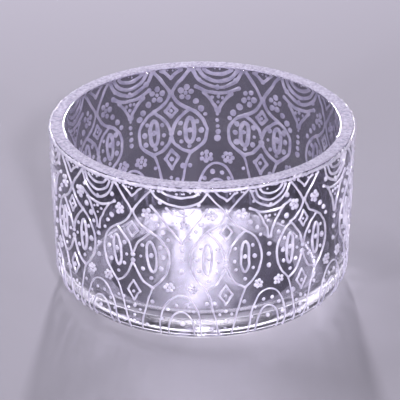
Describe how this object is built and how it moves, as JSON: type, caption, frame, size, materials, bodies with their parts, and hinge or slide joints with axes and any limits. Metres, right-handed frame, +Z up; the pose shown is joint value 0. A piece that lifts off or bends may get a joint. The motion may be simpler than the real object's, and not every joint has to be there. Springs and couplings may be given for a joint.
{
  "type": "tealight holder",
  "caption": "Round straight-sided clear glass tealight holder with raised white hand-piped relief lines and dots outside and a white granular rim.",
  "frame": {"origin": "middle of the underside, on the plane the cup stands on", "axes": "+Z up along the cup's axis; -Y is the front, the side with the closest-spaced repeats"},
  "size_m": [0.0772, 0.0772, 0.0443],
  "materials": {
    "glass": "clear, polished",
    "paint": "raised white relief paint, pearly semi-gloss",
    "rim_white": "matt, finely granular white coat"
  },
  "bodies": {
    "root": {"arch_dots": "paint", "base_stems": "paint", "crossing_dots": "paint", "crossing_rosettes": "paint", "diamond_dots": "paint", "eye_dots": "paint", "funnel_brackets": "paint", "funnel_dots": "paint", "funnel_outlines": "paint", "glass_cup": "glass", "inner_arches": "paint", "lattice_lines": "paint", "lower_diamonds": "paint", "lower_rosettes": "paint", "medallion_dots": "paint", "medallion_eyes": "paint", "medallion_outlines": "paint", "outer_arches": "paint", "pendant_dots": "paint", "rim_beads": "paint", "rim_chevrons": "paint", "rim_coat": "rim_white", "stem_dots": "paint", "swag_arcs": "paint", "swag_dots": "paint", "trail_dots": "paint", "upper_diamonds": "paint"}
  },
  "joints": []
}
